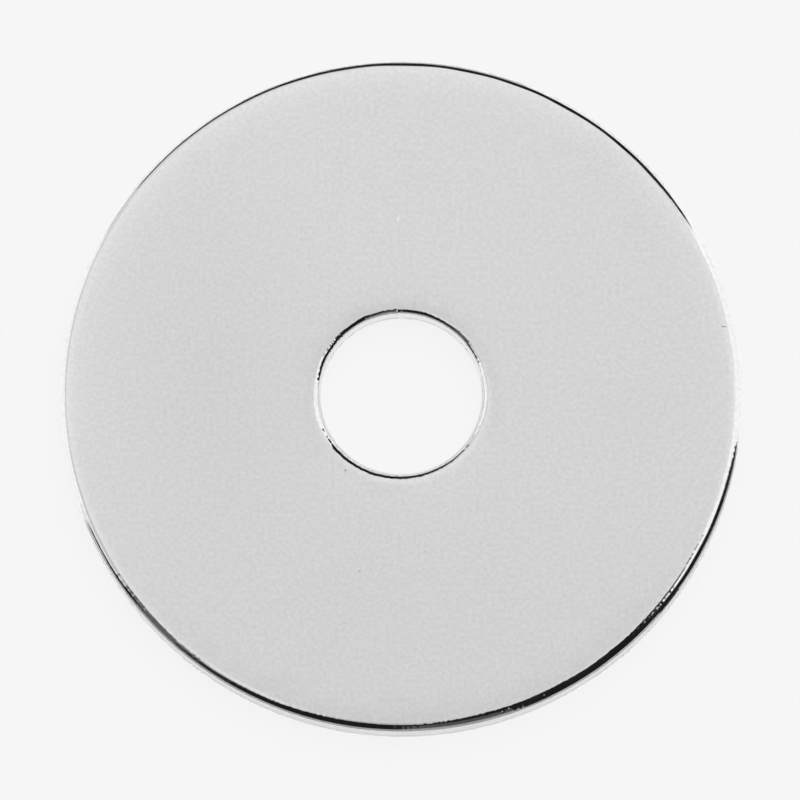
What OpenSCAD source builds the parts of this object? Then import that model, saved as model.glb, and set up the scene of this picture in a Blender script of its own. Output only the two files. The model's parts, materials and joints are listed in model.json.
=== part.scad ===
// Wide flat washer, blanked and pierced from steel sheet in one stroke and then plated.
// The origin is the centre of the hole on the underside. +Z runs up the hole's axis,
// through the face whose edges were rolled over by the die.

/* [Washer] */
// Outer diameter
outer_d = 35; // [30:0.5:50]
// Diameter of the hole's cylindrical land: the clearance hole for the bolt
bore_d = 8.4; // [5.3:0.1:13]
// Thickness of the sheet
thickness = 2; // [1.5:0.1:3]

/* [Edges] */
// Radius of the die roll on the upper edges, at the rim and at the hole
roll_r = 0.3; // [0.1:0.05:0.45]
// Size of the small break on the lower edges
break_size = 0.1; // [0.05:0.05:0.2]
// How far the hole opens out at the underside, where the slug broke away
flare = 0.2; // [0.04:0.02:0.24]
// Share of the thickness over which the hole opens out
flare_share = 0.4; // [0.2:0.05:0.5]

/* [Finish] */
// Colour of the bright plating
plate_colour = "Silver"; // [Silver, Gainsboro, LightSlateGray]

/* [Hidden] */
$fn = 180;

outer_r = outer_d / 2;
bore_r = bore_d / 2;
flare_h = thickness * flare_share;
// Room that a cutter reaches past the metal, so that no two faces coincide
overshoot = 0.2;

// Outline of the metal in the r-z half plane, with its upper corners still sharp
module sheared_section() {
    polygon([
        [bore_r, thickness],
        [outer_r, thickness],
        [outer_r, break_size],
        [outer_r - break_size, 0],
        [bore_r + flare + break_size, 0],
        [bore_r + flare, break_size],
        [bore_r, flare_h],
    ]);
}

// Waste outside a rolled corner that sits at [0, 0] with the metal on its -x, -y side
module corner_waste() {
    difference() {
        translate([-roll_r, -roll_r])
            square(roll_r + overshoot);
        translate([-roll_r, -roll_r])
            circle(r = roll_r);
    }
}

// The finished section: the sheared outline with both upper corners rolled
module washer_section() {
    difference() {
        sheared_section();
        translate([outer_r, thickness])
            corner_waste();
        translate([bore_r, thickness])
            mirror([1, 0])
                corner_waste();
    }
}

// The washer: its section turned about the hole's axis
module washer() {
    color(plate_colour)
        rotate_extrude()
            washer_section();
}

washer();
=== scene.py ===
"""A wide flat washer: stamped from steel sheet, tumbled and brightly plated.

The washer is one piece. Its mesh is a closed section swept round the hole's axis, and the
section changes a little with the angle, as a real stamping does: the rim is slightly oval, the
die roll is wider on one side, the sheared walls have a burnished land over a rougher fracture,
and the hole's upper edge carries a few nicks. Lengths are in metres and angles in radians
unless a name or a comment says otherwise.
"""
import json
import math

import bpy
from mathutils import Matrix, Vector, noise


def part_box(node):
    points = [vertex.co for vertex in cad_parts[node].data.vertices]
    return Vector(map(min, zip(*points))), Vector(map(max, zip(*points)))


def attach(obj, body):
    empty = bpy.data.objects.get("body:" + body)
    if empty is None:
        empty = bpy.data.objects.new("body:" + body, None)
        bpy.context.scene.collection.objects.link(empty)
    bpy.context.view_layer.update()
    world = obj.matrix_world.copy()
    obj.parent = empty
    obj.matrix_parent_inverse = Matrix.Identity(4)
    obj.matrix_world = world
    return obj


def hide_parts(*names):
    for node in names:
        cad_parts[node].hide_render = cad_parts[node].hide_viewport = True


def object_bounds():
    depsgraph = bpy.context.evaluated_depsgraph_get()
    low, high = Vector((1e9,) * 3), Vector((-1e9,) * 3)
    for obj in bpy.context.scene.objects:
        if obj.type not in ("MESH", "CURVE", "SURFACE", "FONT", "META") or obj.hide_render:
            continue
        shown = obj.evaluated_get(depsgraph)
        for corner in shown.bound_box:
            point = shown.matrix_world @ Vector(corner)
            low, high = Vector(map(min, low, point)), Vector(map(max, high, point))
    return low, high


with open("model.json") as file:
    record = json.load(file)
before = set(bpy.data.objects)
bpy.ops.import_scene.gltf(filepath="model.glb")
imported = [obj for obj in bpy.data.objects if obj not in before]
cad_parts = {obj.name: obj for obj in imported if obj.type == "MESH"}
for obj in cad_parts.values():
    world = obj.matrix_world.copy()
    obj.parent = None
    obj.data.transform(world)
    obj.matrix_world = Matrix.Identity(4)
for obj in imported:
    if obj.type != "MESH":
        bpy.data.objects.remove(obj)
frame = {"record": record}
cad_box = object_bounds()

MM = 0.001

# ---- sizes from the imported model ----
BORE = next(m for m in frame["record"]["mounts"] if m["name"] == "bolt_hole")
BOX_LOW, BOX_HIGH = (Vector(corner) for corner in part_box("washer"))
OUTER_R = (BOX_HIGH.x - BOX_LOW.x) / 2
THICKNESS = BOX_HIGH.z - BOX_LOW.z
BORE_R = BORE["dims"]["r_mm"] * MM

# ---- shape of the stamped edges ----
RIM_ROLL = 0.30 * MM          # width of the die roll at the rim, where it is narrowest
HEAVY_ROLL = 0.22 * MM        # how much wider it gets on the heavy side of the stamping
HEAVY_SIDE = math.radians(285)
HEAVY_SPREAD = math.radians(120)   # how far the heavy side reaches, either way
BORE_ROLL = 0.30 * MM         # width of the die roll at the hole
ROLL_HEIGHT = 0.24 * MM       # how far either die roll reaches down
OVAL = 0.06 * MM              # how much the rim is out of round
OVAL_LONG = math.radians(298)      # where the oval's long axis points
SLUMP_WIDTH = 3.0 * MM        # the face slumps this far in from each sheared edge
SLUMP_DEPTH = 0.030 * MM
SLUMP_POWER = 3.0
SHINE_FADE = 4                # how soon the polish of the edges dies away across the slump
FACE_WAVE = 0.0012 * MM       # flatness error of the sheet
FACE_WAVE_SIZE = 6 * MM
BREAK = 0.10 * MM             # rounding of the lower edges
FLARE = 0.20 * MM             # how far the hole opens out at the underside
FRACTURE_LINE = 0.4 * THICKNESS  # height of the line between the fracture and the land
FRACTURE_ROUGH = 0.012 * MM   # depth of the fracture's grain
FRACTURE_GRAIN = 0.22 * MM    # height of the fracture's grain
FRACTURE_ONSET = 3            # how soon the fracture gets rough away from the land
LAND_ROUGH = 0.0015 * MM      # depth of the burnished land's drag lines
LAND_DRIFT = 0.2              # how much the drag lines change from the top of the land to its foot

# Unevenness round the washer, as waves: depth, waves in a turn, seed
RIM_RIPPLE = [(0.035 * MM, 60, 8.2)]
RIM_TEETH = [(0.050 * MM, 900, 3.1)]
BORE_RIPPLE = [(0.025 * MM, 140, 5.7), (0.040 * MM, 34, 2.2)]
RIM_LINE_WAVE = [(0.070 * MM, 60, 21.0), (0.028 * MM, 200, 31.0)]
BORE_LINE_WAVE = [(0.070 * MM, 22, 11.0), (0.028 * MM, 90, 1.0)]
LEAST_TEETH = 0.1             # depth of the rim's teeth away from the heavy side, as a share

# Drag lines in a turn and their seed, then fracture grains in a radian and their seed
RIM_DRAG, RIM_GRAIN = (560, 44.0), (190, 9.0)
BORE_DRAG, BORE_GRAIN = (150, 14.0), (55, 4.0)

# How polished a point is, and how torn by the fracture, both from 0 to 1
POLISHED, UNPOLISHED = 1.0, 0.0
# The rim's burnished land is marked half torn only as painted shade, which darkens its colour.
WHOLE, RIM_LAND_SHADE, BREAK_TORN = 0.0, 0.5, 0.6

# ---- how finely the mesh is divided ----
SEGMENTS = 1280
ROLL_STEPS, LAND_STEPS, FRACTURE_STEPS, BREAK_STEPS, FACE_STEPS = 12, 5, 6, 3, 8
SLUMP_SHARES = (0.12, 0.28, 0.46, 0.66, 0.9)   # where the points lie, as shares of the way
UNDERSIDE_SHARES = (0.06, 0.35, 0.65, 0.94)

# Nicks in the hole's upper edge: middle and half width in degrees, depth
NICKS = [
    (92.6, 0.9, 0.045 * MM),
    (139.5, 0.8, 0.030 * MM),
    (141.6, 0.7, 0.045 * MM),
    (143.4, 0.6, 0.030 * MM),
    (145.6, 0.8, 0.024 * MM),
    (348.5, 0.9, 0.020 * MM),
    (354.0, 0.7, 0.016 * MM),
]

# Broad faint painted shade on the upper face: middle x, y and half widths across x and y in mm,
# strength
SHADE_PATCHES = [
    (-10.2, 2.2, 4.6, 9.0, 0.036),
    (-2.0, -11.0, 9.0, 4.0, 0.010),
    (11.6, -0.6, 2.4, 2.0, 0.014),
    (10.7, 12.6, 1.6, 1.2, 0.010),
    (12.4, 8.6, 1.4, 1.4, 0.010),
]

# Small dents in the upper face: name, radius in mm and bearing in degrees, half length and half
# width in mm, turn in degrees, strength. A negative strength is a raised mark.
# The dents' colour is darkened as painted shade; a raised mark's colour is lightened instead.
DENTS_WITH_SHADE = [
    ("pit_near_hole", 4.89, 234.4, 0.07, 0.06, 0, 1.0),
    ("pit_below", 9.45, 257.0, 0.06, 0.05, 0, 0.8),
    ("pit_low", 8.31, 278.7, 0.06, 0.05, 0, 0.6),
    ("scratch_at_rim", 16.9, 11.9, 0.19, 0.03, -6, 1.0),
    ("scuff_above_hole", 9.2, 91.0, 0.16, 0.05, 80, -0.35),
]

# Places where an edge was knocked and left matt, given the same way
SCUFFS = [
    ("knock_above_hole", 4.36, 92.7, 0.24, 0.045, 92, 0.75),
    ("knock_left_of_hole", 4.50, 142.6, 0.13, 0.09, 150, 0.6),
    ("knock_left_tail", 4.62, 139.8, 0.12, 0.03, 100, 0.6),
    ("speck_low_a", 17.27, 287.4, 0.06, 0.03, 17, 0.75),
    ("speck_low_b", 17.22, 288.6, 0.05, 0.03, 19, 0.75),
    ("speck_low_c", 17.25, 295.0, 0.04, 0.03, 19, 0.7),
    ("speck_right_a", 17.18, 318.4, 0.07, 0.03, 48, 0.75),
    ("speck_right_b", 17.21, 319.8, 0.06, 0.03, 50, 0.75),
]
MARK_CORE = 0.4               # a mark keeps its full strength over this share of its reach


# ---- what varies round the washer ----
def wander(angle, cycles, seed):
    """Smooth noise from -1 to 1 that closes on itself after a full turn."""
    reach = cycles / math.tau
    return noise.noise(Vector((math.cos(angle) * reach, math.sin(angle) * reach, seed)))


def waves(angle, parts):
    """The sum of these waves at this angle."""
    return sum(depth * wander(angle, cycles, seed) for depth, cycles, seed in parts)


def hump(offset, half_width):
    """1 at no offset, falling smoothly to 0 at the half width."""
    x = min(1.0, abs(offset) / half_width)
    return (1 - x * x) ** 2


def turn_between(a, b):
    """The signed angle from b to a, by the shorter way."""
    return (a - b + math.pi) % math.tau - math.pi


def rim_radius(angle):
    """Radius of the slightly oval rim at this angle."""
    return OUTER_R - OVAL * math.sin(angle - OVAL_LONG) ** 2


def slump(distance):
    """How far the upper face has sunk at this distance from a sheared edge."""
    share = max(0.0, 1 - distance / SLUMP_WIDTH)
    return SLUMP_DEPTH * share ** SLUMP_POWER


def face_height(radius, angle):
    """Height of the upper face, with both slumps and the sheet's slight waviness."""
    x, y = radius * math.cos(angle), radius * math.sin(angle)
    wave = noise.noise(Vector((x, y, 0)) / FACE_WAVE_SIZE)
    sunk = slump(rim_radius(angle) - radius) + slump(radius - BORE_R)
    return THICKNESS - FACE_WAVE * (1 + wave) - sunk


def painted_shade(x, y, z):
    """How much the broad painted shade darkens the upper face at this point."""
    if z < THICKNESS / 2:
        return 0.0
    total = 0.0
    for middle_x, middle_y, half_x, half_y, strength in SHADE_PATCHES:
        across, along = (x / MM - middle_x) / half_x, (y / MM - middle_y) / half_y
        total += strength * math.exp(-across ** 2 - along ** 2)
    return total


def nick_depth(angle):
    """Depth of the nicks in the hole's upper edge at this angle."""
    return sum(
        depth * hump(turn_between(angle, math.radians(middle)), math.radians(half))
        for middle, half, depth in NICKS
    )


def drag_depth(angle, share, cycles, seed):
    """Depth of the land's drag lines, at this share of its height; none at either end."""
    lines = 1 + wander(angle, cycles, seed + LAND_DRIFT * share)
    return LAND_ROUGH * lines * math.sin(math.pi * share)


def grain_depth(angle, z, grains, seed):
    """Depth of the fracture's grain at this angle and height."""
    return FRACTURE_ROUGH * abs(noise.noise(Vector((angle * grains, z / FRACTURE_GRAIN, seed))))


def bore_shape(angle):
    """Width and height of the hole's die roll, and the height of its fracture line."""
    ripple = waves(angle, BORE_RIPPLE)
    width = BORE_ROLL + ripple + nick_depth(angle)
    return width, ROLL_HEIGHT + ripple, FRACTURE_LINE + waves(angle, BORE_LINE_WAVE)


def rim_shape(angle):
    """Width and height of the rim's die roll, and the height of its fracture line."""
    heavy = hump(turn_between(angle, HEAVY_SIDE), HEAVY_SPREAD)
    teeth = (LEAST_TEETH + (1 - LEAST_TEETH) * heavy) * waves(angle, RIM_TEETH)
    ripple = waves(angle, RIM_RIPPLE)
    width = RIM_ROLL + HEAVY_ROLL * heavy + ripple + teeth
    return width, ROLL_HEIGHT + ripple / 2, FRACTURE_LINE + waves(angle, RIM_LINE_WAVE)


# ---- the section, in stretches of points (radius, height, polish, fracture and painted shade) ----
def bore_wall(angle, roll_height, line):
    """Up the hole: the lower break, the fracture that opens out below, the burnished land."""
    points = []
    foot = BORE_R + FLARE
    for step in range(BREAK_STEPS + 1):
        a = math.pi / 2 * step / BREAK_STEPS
        r, z = foot + BREAK * (1 - math.sin(a)), BREAK * (1 - math.cos(a))
        points.append((r, z, UNPOLISHED, BREAK_TORN))
    for step in range(1, FRACTURE_STEPS + 1):
        share = step / FRACTURE_STEPS
        z = BREAK + (line - BREAK) * share
        torn = min(1.0, (1 - share) * FRACTURE_ONSET)
        r = foot - FLARE * share + grain_depth(angle, z, *BORE_GRAIN) * torn
        points.append((r, z, UNPOLISHED, torn))
    land_top = THICKNESS - SLUMP_DEPTH - roll_height
    for step in range(1, LAND_STEPS):
        share = step / LAND_STEPS
        r = BORE_R + drag_depth(angle, share, *BORE_DRAG)
        points.append((r, line + (land_top - line) * share, POLISHED, WHOLE))
    return points


def die_roll(width, height):
    """Distance from the sheared edge, and height, of the points of a die roll, edge first."""
    points = []
    for step in range(ROLL_STEPS + 1):
        a = math.pi / 2 * step / ROLL_STEPS
        distance = width * (1 - math.cos(a))
        points.append((distance, THICKNESS - height * (1 - math.sin(a)) - slump(distance)))
    return points


def upper_face(angle, inner, outer):
    """Across the face, from the end of the hole's die roll to the start of the rim's."""
    fading = [(SLUMP_WIDTH * share, (1 - share) ** SHINE_FADE) for share in SLUMP_SHARES]
    flat_in, flat_out = inner + SLUMP_WIDTH, outer - SLUMP_WIDTH
    across = [(inner + distance, shine) for distance, shine in fading]
    for step in range(FACE_STEPS + 1):
        across.append((flat_in + (flat_out - flat_in) * step / FACE_STEPS, UNPOLISHED))
    across += [(outer - distance, shine) for distance, shine in reversed(fading)]
    return [(r, face_height(r, angle), shine, WHOLE) for r, shine in across]


def rim_wall(angle, roll_height, line):
    """Down the rim: the burnished land, darkened as painted shade, the fracture, the lower break.
    """
    points = []
    rim = rim_radius(angle)
    land_top = THICKNESS - SLUMP_DEPTH - roll_height
    for step in range(1, LAND_STEPS):
        share = step / LAND_STEPS
        r = rim - drag_depth(angle, share, *RIM_DRAG)
        # The land's torn share is painted shade, darkening its colour.
        points.append((r, land_top + (line - land_top) * share, UNPOLISHED, RIM_LAND_SHADE))
    for step in range(FRACTURE_STEPS):
        share = step / FRACTURE_STEPS
        z = line + (BREAK - line) * share
        torn = min(1.0, share * FRACTURE_ONSET)
        r = rim - (FRACTURE_ROUGH + grain_depth(angle, z, *RIM_GRAIN)) * torn
        points.append((r, z, UNPOLISHED, torn))
    for step in range(BREAK_STEPS + 1):
        a = math.pi / 2 * step / BREAK_STEPS
        r = rim - FRACTURE_ROUGH - BREAK * (1 - math.cos(a))
        points.append((r, BREAK * (1 - math.sin(a)), UNPOLISHED, BREAK_TORN))
    return points


def underside(angle):
    """Back along the flat underside, from the rim to the hole."""
    start, end = rim_radius(angle) - BREAK, BORE_R + FLARE + BREAK
    radii = [start + (end - start) * share for share in UNDERSIDE_SHARES]
    return [(r, 0.0, UNPOLISHED, WHOLE) for r in radii]


def section(angle):
    """The closed section at this angle: up the hole, across, down the rim and back underneath."""
    bore_w, bore_h, bore_line = bore_shape(angle)
    rim_w, rim_h, rim_line = rim_shape(angle)
    rim = rim_radius(angle)
    points = bore_wall(angle, bore_h, bore_line)
    points += [(BORE_R + d, z, POLISHED, WHOLE) for d, z in die_roll(bore_w, bore_h)]
    points += upper_face(angle, BORE_R + bore_w, rim - rim_w)
    points += [(rim - d, z, POLISHED, WHOLE) for d, z in reversed(die_roll(rim_w, rim_h))]
    points += rim_wall(angle, rim_h, rim_line)
    points += underside(angle)
    return points


def build_washer():
    """The swept mesh; how polished, how fractured and how darkened by painted shade each point is
    are its attributes.
    """
    verts, polish, fracture_and_shade, shade_amounts = [], [], [], []
    for i in range(SEGMENTS):
        angle = math.tau * i / SEGMENTS
        c, s = math.cos(angle), math.sin(angle)
        for r, z, shine, torn in section(angle):
            verts.append((r * c, r * s, z))
            polish.append(shine)
            fracture_and_shade.append(torn)
            shade_amounts.append(painted_shade(r * c, r * s, z))
    ring = len(verts) // SEGMENTS
    faces = []
    for i in range(SEGMENTS):
        here, there = i * ring, (i + 1) % SEGMENTS * ring
        for j in range(ring):
            k = (j + 1) % ring
            faces.append((here + j, here + k, there + k, there + j))
    mesh = bpy.data.meshes.new("washer_body")
    mesh.from_pydata(verts, [], faces)
    mesh.polygons.foreach_set("use_smooth", [True] * len(faces))
    for name, values in (("polish", polish), ("fracture_and_shade", fracture_and_shade), ("painted_shade", shade_amounts)):
        mesh.attributes.new(name, "FLOAT", "POINT").data.foreach_set("value", values)
    mesh.update()
    body = bpy.data.objects.new("washer_body", mesh)
    bpy.context.scene.collection.objects.link(body)
    return body


# ---- material ----
BASE_TONE, BASE_ROUGHNESS = 0.81, 0.22
MOTTLE_SIZE, CLOUD_SIZE, GRAIN_SIZE = 0.9 * MM, 6 * MM, 0.2 * MM
PATTERN_LOW, PATTERN_HIGH = 0.3, 0.7   # nearly all of a noise pattern lies between these

# How far each pattern swings the tone or the roughness, either way
TONE_SWINGS = {"mottle": 0.003, "cloud": 0.004, "grain": 0.034}
ROUGHNESS_SWINGS = {"mottle": 0.03}

# What each effect adds to the tone, the roughness and the relief where it is 1
# Broad darker patches on the face are painted shade in the tone.
# The darkening of the dents is painted shade in their hollows.
# The fracture's darkening is partly the sheared wall's own tone and partly painted shade.
TONE_EFFECTS = {"fracture_and_shade": -0.09, "polish": 0.015, "painted_shade": -1, "dent_and_shade": -0.5, "scuff": 0.12}
ROUGHNESS_EFFECTS = {"polish": -0.15, "fracture_and_shade": 0.18, "scuff": 1}
RELIEF_EFFECTS = {"mottle": 0.3, "grain": 0.25, "dent_and_shade": -1}
RELIEF_STRENGTH, RELIEF_DEPTH = 0.35, 0.003 * MM


def node(tree, kind, **settings):
    """A new shader node with its settings and named inputs filled in."""
    made = tree.nodes.new(kind)
    for name, value in settings.items():
        if name in made.inputs:
            made.inputs[name].default_value = value
        else:
            setattr(made, name, value)
    return made


def noise_value(tree, coords, size):
    """The output of a noise pattern whose features are about this size."""
    made = node(tree, "ShaderNodeTexNoise", Scale=1 / size, Detail=2.0)
    tree.links.new(coords, made.inputs["Vector"])
    return made.outputs["Fac"]


def remap(tree, value, low, high, to_low, to_high, smooth=False):
    """Value stretched from one range to another, without leaving the second."""
    kind = "SMOOTHSTEP" if smooth else "LINEAR"
    made = node(tree, "ShaderNodeMapRange", clamp=True, interpolation_type=kind)
    ends = {"From Min": low, "From Max": high, "To Min": to_low, "To Max": to_high}
    for name, number in ends.items():
        made.inputs[name].default_value = number
    tree.links.new(value, made.inputs["Value"])
    return made.outputs["Result"]


def combine(tree, operation, first, second):
    """A math node's output; either side may be a number."""
    made = node(tree, "ShaderNodeMath", operation=operation)
    for socket, value in zip(made.inputs, (first, second)):
        if isinstance(value, (int, float)):
            socket.default_value = value
        else:
            tree.links.new(value, socket)
    return made.outputs["Value"]


def attribute(tree, name):
    """The mesh's own value of this name."""
    return node(tree, "ShaderNodeAttribute", attribute_name=name).outputs["Fac"]


def marks(tree, coords, places):
    """How strongly a point is touched by the small marks at these places, 0 outside them all."""
    total = 0.0
    for name, radius, bearing, half_length, half_width, turn, strength in places:
        middle = direction(bearing, 0) * radius * MM
        place = node(tree, "ShaderNodeMapping", vector_type="TEXTURE", Location=middle, label=name)
        place.inputs["Rotation"].default_value = (0, 0, math.radians(turn))
        place.inputs["Scale"].default_value = (half_length * MM, half_width * MM, 1)
        tree.links.new(coords, place.inputs["Vector"])
        reach = node(tree, "ShaderNodeVectorMath", operation="LENGTH")
        tree.links.new(place.outputs["Vector"], reach.inputs[0])
        shape = remap(tree, reach.outputs["Value"], MARK_CORE, 1.0, strength, 0.0)
        total = combine(tree, "ADD", shape, total)
    return total


def with_swings(tree, total, found, swings):
    """The total with each of these patterns swinging it both ways."""
    for name, swing in swings.items():
        change = remap(tree, found[name], PATTERN_LOW, PATTERN_HIGH, -swing, swing)
        total = combine(tree, "ADD", total, change)
    return total


def with_effects(tree, total, found, effects):
    """The total with each of these effects added in by its weight."""
    for name, weight in effects.items():
        total = combine(tree, "ADD", total, combine(tree, "MULTIPLY", found[name], weight))
    return total


def plated_steel():
    """Bright satin plating: mottled where the sheet was rolled, polished on the die roll."""
    material = bpy.data.materials.new("plated_steel")
    material.use_nodes = True
    tree = material.node_tree
    shader = tree.nodes["Principled BSDF"]
    shader.inputs["Metallic"].default_value = 1.0
    coords = node(tree, "ShaderNodeTexCoord").outputs["Object"]
    found = {name: attribute(tree, name) for name in ("polish", "fracture_and_shade", "painted_shade")}
    for name, size in (("mottle", MOTTLE_SIZE), ("cloud", CLOUD_SIZE), ("grain", GRAIN_SIZE)):
        found[name] = noise_value(tree, coords, size)
    # The dents' mask carries their real relief and their painted shade in the tone.
    found["dent_and_shade"] = marks(tree, coords, DENTS_WITH_SHADE)
    found["scuff"] = marks(tree, coords, SCUFFS)

    tone = with_swings(tree, BASE_TONE, found, TONE_SWINGS)
    tone = with_effects(tree, tone, found, TONE_EFFECTS)
    colour = node(tree, "ShaderNodeCombineColor", mode="RGB")
    for channel in ("Red", "Green", "Blue"):
        tree.links.new(tone, colour.inputs[channel])
    tree.links.new(colour.outputs["Color"], shader.inputs["Base Color"])

    rough = with_swings(tree, BASE_ROUGHNESS, found, ROUGHNESS_SWINGS)
    rough = with_effects(tree, rough, found, ROUGHNESS_EFFECTS)
    tree.links.new(rough, shader.inputs["Roughness"])

    bump = node(tree, "ShaderNodeBump", Strength=RELIEF_STRENGTH, Distance=RELIEF_DEPTH)
    tree.links.new(with_effects(tree, 0.0, found, RELIEF_EFFECTS), bump.inputs["Height"])
    tree.links.new(bump.outputs["Normal"], shader.inputs["Normal"])
    return material


# ---- studio ----
# Near is towards -Y, at the bottom of the picture, and right is towards +X.
PALE = 0.92                   # radiance of the white sweep, as the camera sees it
BLACK = 0.012                 # radiance of a black card
FLOOR_TONE = 0.8
FLOOR_HALF = 6.0
CAMERA_AZIMUTH, CAMERA_ELEVATION = math.radians(3.0), math.radians(79.0)
CAMERA_DISTANCE = 32 * OUTER_R
SENSOR = 36.0
CLIP_NEAR, CLIP_FAR = 0.01, 20.0
FRAME_WIDTH = 41.05 * MM      # how much the picture takes in, across the washer
AIM_RIGHT, AIM_UP = -0.065 * MM, -0.125 * MM

# Lamps that only matte surfaces see: name, share of the floor's light, then spread, lean from
# overhead and bearing in degrees
LAMPS = [
    ("key", 0.985, 3, 11, -87),
    ("fill", 0.04, 50, 24, 70),
]

# Cards round the washer that only its gloss sees: name, radiance, then the bearing, the height
# of the lower edge and the height of the upper edge, each at the start and at the end, all in
# degrees. Bearings run anticlockwise from +X and heights are above the horizon.
CARDS = [
    ("near_veil", 0.63, (-194, -118), (58, 46), (79, 79)),
    ("near_flag_edge", 0.13, (-176, -158), (75, 55), (75.5, 72)),
    ("near_flag_left", 0.13, (-158, -140), (20, 20), (72, 62)),
    ("near_flag_foot", BLACK, (-168, -151), (12, 14), (34, 50)),
    ("near_flag_start", 0.03, (-140, -128), (20, 20), (62, 66)),
    ("near_flag", BLACK, (-128, -112), (20, 22), (67, 75)),
    ("near_flag_middle", BLACK, (-112, -90), (22, 28), (75, 74)),
    ("near_flag_pale", 0.09, (-90, -66), (36, 36), (66, 66)),
    ("near_flag_line", BLACK, (-90, -66), (66, 66), (74, 79)),
    ("near_flag_right", BLACK, (-66, -33), (20, 20), (79, 79)),
    ("near_flag_turn", BLACK, (-33, -27), (0, 0), (79, 79)),
    ("near_flag_hook", BLACK, (-27, -10), (61, 71), (79, 79)),
    ("near_flag_end", BLACK, (-27, 3), (12, 0), (65, 54)),
    ("near_skirt", 0.38, (-160, -60), (0, 0), (38, 38)),
    ("near_skirt_right", 0.58, (-60, -33), (0, 0), (20, 20)),
    ("far_flag_start", BLACK, (43, 52), (26, 20), (46, 61)),
    ("far_flag_right", BLACK, (52, 70), (20, 14), (60, 75)),
    ("far_flag", BLACK, (70, 95), (12, 3), (73, 54)),
    ("far_flag_left", BLACK, (95, 114), (3, 3), (54, 42)),
    ("far_flag_tail", 0.03, (114, 132), (3, 16), (42, 38)),
    ("far_veil", 0.74, (84, 150), (34, 46), (79, 79)),
    ("left_veil", 0.74, (150, 166), (46, 58), (79, 79)),
    ("left_grey", 0.62, (129, 141), (12, 12), (38, 38)),
    ("far_softbox", 1.16, (38, 135), (0, 0), (72, 72)),
    ("left_softbox", 1.08, (135, 187), (0, 0), (78, 78)),
    ("right_softbox", 1.08, (-30, 38), (0, 0), (80, 80)),
]
CARD_DISTANCE = 1.2
HANG_BACK = 0.2               # share by which a card hangs further off for each 1 of radiance
CARD_STEPS = 24               # a card's divisions, each way

# Cards lying on the floor, seen only in gloss as well: name, radiance, bearing from and to in
# degrees, and the gaps between the washer's rim and the card's inner and outer edges
MATS = [
    ("near_mat", BLACK, -162, -7, 2.6 * MM, 12 * MM),
    ("far_mat", BLACK, 70, 116, 8 * MM, 60 * MM),
    ("left_mat", 1.1, 140, 200, 0.3 * MM, 30 * MM),
    ("right_mat", 1.1, -6, 40, 0.3 * MM, 30 * MM),
]
MAT_LIFT = 0.02 * MM

# The scrim overhead: leans from the vertical in degrees, between which its radiance changes, and
# the radiance at them. The first runs towards +Y, the second adds to it further on, and the
# third adds to it towards both sides.
SCRIM_HEIGHT = 1.0
SCRIM_SHADE = (-14, -6, 0.36, 0.715)
SCRIM_FAR = (8, 22, 0.0, 0.36)
SCRIM_SIDE = (1.5, 13, 0.0, 0.38)
SCRIM_LIMIT = 0.91

# A black frame hangs beside the scrim, off its near right corner. The line between the two
# starts on the near edge and runs through these corners, x and y. From the last corner the
# scrim's side runs on to its far edge.
BORDER_START_X, FAR_EDGE_END_X = 0.02, 0.095
SCRIM_BORDER = [(0.06, -0.10), (0.09, -0.065), (0.13, -0.06), (0.178, -0.03), (0.135, 0.113)]
FRAME_CORNER, FRAME_END_X = (0.27, 0.045), 0.315   # its outer corner, and its near edge's end


def emitter(name, radiance):
    """A plain glowing material."""
    material = bpy.data.materials.new(name)
    material.use_nodes = True
    tree = material.node_tree
    tree.nodes.clear()
    glow = node(tree, "ShaderNodeEmission", Strength=radiance)
    out = node(tree, "ShaderNodeOutputMaterial")
    tree.links.new(glow.outputs["Emission"], out.inputs["Surface"])
    return material


def direction(bearing, height):
    """Unit vector at a bearing and a height, both in degrees."""
    b, h = math.radians(bearing), math.radians(height)
    return Vector((math.cos(b) * math.cos(h), math.sin(b) * math.cos(h), math.sin(h)))


def add_card(name, verts, faces, material):
    """Adds a card that only gloss sees: the floor gets neither its light nor its shadow."""
    mesh = bpy.data.meshes.new(name)
    mesh.from_pydata(verts, [], faces)
    mesh.materials.append(material)
    made = bpy.data.objects.new(name, mesh)
    bpy.context.scene.collection.objects.link(made)
    made.visible_camera = False
    made.visible_diffuse = False
    made.visible_shadow = False


def card(name, radiance, bearings, lows, highs):
    """A curved card between two bearings; darker cards hang in front of brighter ones."""
    verts, faces = [], []
    distance = CARD_DISTANCE * (1 + HANG_BACK * radiance)
    for i in range(CARD_STEPS + 1):
        bearing, low, high = (a + (b - a) * i / CARD_STEPS for a, b in (bearings, lows, highs))
        for j in range(CARD_STEPS + 1):
            verts.append(direction(bearing, low + (high - low) * j / CARD_STEPS) * distance)
    row = CARD_STEPS + 1
    for i in range(CARD_STEPS):
        for j in range(CARD_STEPS):
            first = i * row + j
            faces.append((first, first + 1, first + row + 1, first + row))
    add_card(name, verts, faces, emitter(name, radiance))


def mat(name, radiance, start, end, inner, outer):
    """A card lying on the floor round the washer, between two bearings and two radii."""
    verts = []
    lift = Vector((0, 0, MAT_LIFT))
    for i in range(CARD_STEPS + 1):
        outward = direction(start + (end - start) * i / CARD_STEPS, 0)
        verts += [outward * inner + lift, outward * outer + lift]
    faces = [(2 * i, 2 * i + 1, 2 * i + 3, 2 * i + 2) for i in range(CARD_STEPS)]
    add_card(name, verts, faces, emitter(name, radiance))


def overhead(name, material, corners):
    """A flat panel hung level above the washer, from its corners' x and y."""
    verts = [(x, y, SCRIM_HEIGHT) for x, y in corners]
    add_card(name, verts, [tuple(range(len(verts)))], material)


def lean(degrees):
    """How far from overhead a point of the scrim is at this lean."""
    return SCRIM_HEIGHT * math.tan(math.radians(degrees))


def scrim_part(tree, across, change, smooth=False):
    """One part of the scrim's radiance, changing with the distance from overhead."""
    start, end, radiance_start, radiance_end = change
    return remap(tree, across, lean(start), lean(end), radiance_start, radiance_end, smooth)


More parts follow.
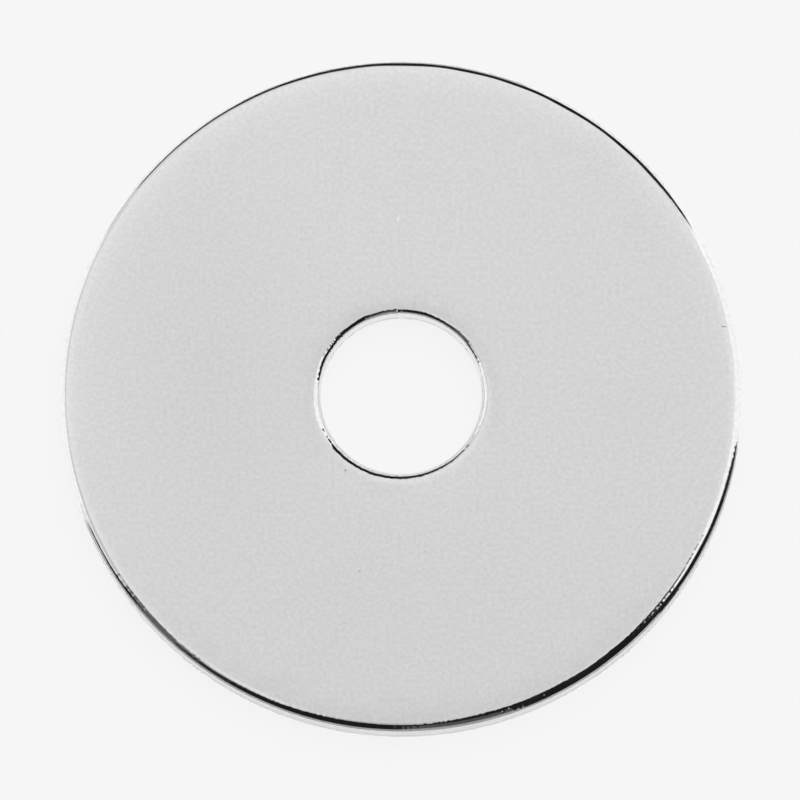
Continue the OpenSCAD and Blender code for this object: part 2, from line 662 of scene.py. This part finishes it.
def scrim_glow():
    """The scrim's material: brighter to the far side and to both sides, up to a limit."""
    material = emitter("scrim", SCRIM_LIMIT)
    tree = material.node_tree
    coords = node(tree, "ShaderNodeTexCoord")
    split = node(tree, "ShaderNodeSeparateXYZ")
    tree.links.new(coords.outputs["Object"], split.inputs["Vector"])
    sideways = combine(tree, "ABSOLUTE", split.outputs["X"], 0.0)
    shade = scrim_part(tree, split.outputs["Y"], SCRIM_SHADE)
    far = scrim_part(tree, split.outputs["Y"], SCRIM_FAR, smooth=True)
    side = scrim_part(tree, sideways, SCRIM_SIDE, smooth=True)
    glow = combine(tree, "ADD", combine(tree, "ADD", shade, far), side)
    glow = combine(tree, "MINIMUM", glow, SCRIM_LIMIT)
    tree.links.new(glow, tree.nodes["Emission"].inputs["Strength"])
    return material


def scrim():
    """The overhead diffuser that the flat face mirrors, and the black frame beside it."""
    left, near_edge, far_edge = -lean(SCRIM_SIDE[1]), lean(SCRIM_SHADE[0]), lean(SCRIM_FAR[1])
    border = [(BORDER_START_X, near_edge)] + SCRIM_BORDER
    left_corners = [(left, far_edge), (left, near_edge)]
    overhead("scrim", scrim_glow(), left_corners + border + [(FAR_EDGE_END_X, far_edge)])
    frame_corners = border + [FRAME_CORNER, (FRAME_END_X, near_edge)]
    overhead("scrim_frame", emitter("scrim_frame", BLACK), frame_corners)


def floor():
    """The pale matte sheet that the washer lies on."""
    corners = [(-1, -1), (1, -1), (1, 1), (-1, 1)]
    mesh = bpy.data.meshes.new("floor")
    mesh.from_pydata([(x * FLOOR_HALF, y * FLOOR_HALF, 0) for x, y in corners], [], [(0, 1, 2, 3)])
    material = bpy.data.materials.new("floor")
    material.use_nodes = True
    shader = material.node_tree.nodes["Principled BSDF"]
    shader.inputs["Base Color"].default_value = (FLOOR_TONE, FLOOR_TONE, FLOOR_TONE, 1)
    shader.inputs["Roughness"].default_value = 1.0
    shader.inputs["Specular IOR Level"].default_value = 0.0
    mesh.materials.append(material)
    made = bpy.data.objects.new("floor", mesh)
    bpy.context.scene.collection.objects.link(made)


def light_the_sweep():
    """An even white surround, and lamps that only matte surfaces see.

    The key shines along the camera's line, so the washer hides its own shadow.
    """
    world = bpy.data.worlds.new("sweep")
    bpy.context.scene.world = world
    world.use_nodes = True
    world.node_tree.nodes["Background"].inputs["Color"].default_value = (1, 1, 1, 1)
    world.node_tree.nodes["Background"].inputs["Strength"].default_value = PALE
    world.cycles_visibility.diffuse = False
    for name, share, spread, from_overhead, bearing in LAMPS:
        light = bpy.data.lights.new(name, "SUN")
        light.energy = share * PALE * math.pi / FLOOR_TONE
        light.angle = math.radians(spread)
        lamp = bpy.data.objects.new(name, light)
        away = direction(bearing, 90 - from_overhead)
        lamp.rotation_euler = away.to_track_quat("Z", "Y").to_euler()
        lamp.visible_glossy = False
        bpy.context.scene.collection.objects.link(lamp)


def aim_camera():
    """A long lens almost straight above, leaning a little towards -Y and +X."""
    cam = bpy.data.cameras.new("camera")
    cam.sensor_width = SENSOR
    cam.lens = SENSOR * CAMERA_DISTANCE / FRAME_WIDTH
    cam.clip_start, cam.clip_end = CLIP_NEAR, CLIP_FAR
    made = bpy.data.objects.new("camera", cam)
    bpy.context.scene.collection.objects.link(made)
    bpy.context.scene.camera = made
    a, e = CAMERA_AZIMUTH, CAMERA_ELEVATION
    back = Vector((math.sin(a) * math.cos(e), -math.cos(a) * math.cos(e), math.sin(e)))
    right = Vector((0, 1, 0)).cross(back).normalized()
    up = back.cross(right)
    aim = (cad_box[0] + cad_box[1]) / 2 + right * AIM_RIGHT + up * AIM_UP
    turn = Matrix((right, up, back)).transposed().to_4x4()
    made.matrix_world = Matrix.Translation(aim + back * CAMERA_DISTANCE) @ turn


def main():
    """The washer, what it lies on and what it mirrors."""
    aim_camera()
    washer = build_washer()
    washer.data.materials.append(plated_steel())
    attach(washer, "root")
    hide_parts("washer")
    floor()
    light_the_sweep()
    scrim()
    for facts in CARDS:
        card(*facts)
    for name, radiance, start, end, gap, reach in MATS:
        mat(name, radiance, start, end, OUTER_R + gap, OUTER_R + reach)
    bpy.context.scene.view_settings.view_transform = "Standard"
    bpy.context.scene.cycles.caustics_reflective = False


main()
